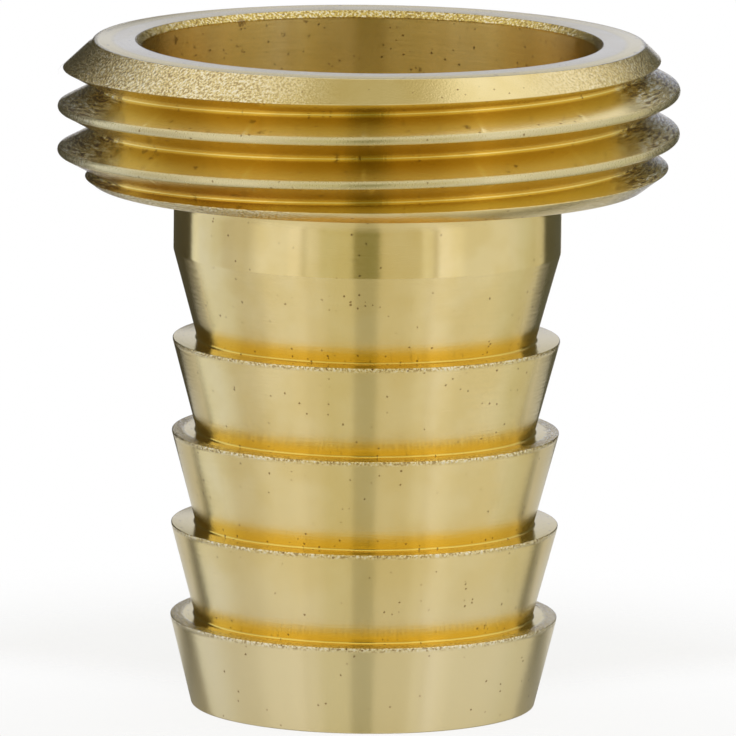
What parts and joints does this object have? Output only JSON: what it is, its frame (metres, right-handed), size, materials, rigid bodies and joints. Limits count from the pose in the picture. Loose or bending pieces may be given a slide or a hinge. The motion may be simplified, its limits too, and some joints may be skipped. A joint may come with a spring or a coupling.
{
  "type": "threaded hose connector",
  "caption": "Turned brass connector: a short hollow collar with an outside pipe thread and a flat sealing face, above a barbed tail for a pushed-on hose.",
  "frame": {"origin": "centre of the tail's open end face, which the connector stands on", "axes": "+Z along the bore, from the tail's open end towards the sealing face of the threaded collar"},
  "size_m": [0.033, 0.033, 0.0356],
  "materials": {
    "brass": "as turned, satin, with fine rings round the axis"
  },
  "bodies": {
    "root": {"threaded_hose_connector": "brass"}
  },
  "joints": []
}
